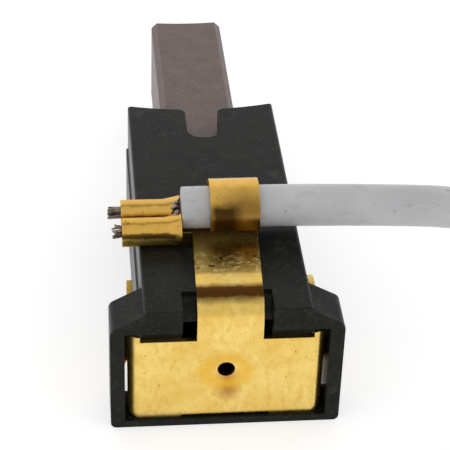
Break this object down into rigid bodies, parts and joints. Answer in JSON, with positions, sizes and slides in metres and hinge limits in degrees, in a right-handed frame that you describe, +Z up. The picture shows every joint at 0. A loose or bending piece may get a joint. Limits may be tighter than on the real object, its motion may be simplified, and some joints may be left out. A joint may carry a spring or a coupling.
{
  "type": "carbon brush",
  "caption": "Carbon brush that slides in a moulded holder with a stamped brass contact clip, sprung from behind, with a crimped insulated lead.",
  "frame": {"origin": "centre of the footprint of the holder and its carbon, on the bottom of the holder", "axes": "+Y is the way that the carbon slides out towards the commutator, +Z is up from the bottom of the holder, and the lead leaves along +X"},
  "size_m": [0.0739, 0.0565, 0.0149],
  "materials": {
    "moulding": "moulded dark thermoset, faintly rough",
    "clip_brass": "bright stamped sheet",
    "carbon": "matte metal graphite",
    "spring_steel": "drawn wire",
    "copper": "braided bare copper",
    "copper_powder": "packed copper powder",
    "tinned_copper": "dull tinned strands",
    "insulation": "smooth pale grey insulation",
    "tie_nylon": "natural nylon"
  },
  "bodies": {
    "holder": {"housing": "moulding", "contact_clip": "clip_brass", "spring": "spring_steel", "shunt": "copper", "bare_strands": "tinned_copper", "lead_wire": "insulation", "lead_coil": "insulation", "lead_tail": "insulation", "coil_tie": "tie_nylon", "receptacle": "clip_brass", "receptacle_strands": "tinned_copper"},
    "brush": {"carbon": "carbon", "tamping": "copper_powder"}
  },
  "joints": [
    {"name": "brush_slide", "type": "slide", "parent": "holder", "child": "brush", "axis": [0, 1, 0], "range_m": [-0.009, 0], "stiffness_N_per_m": 350, "springref_m": 0.004, "deforming": ["spring", "shunt"]}
  ]
}
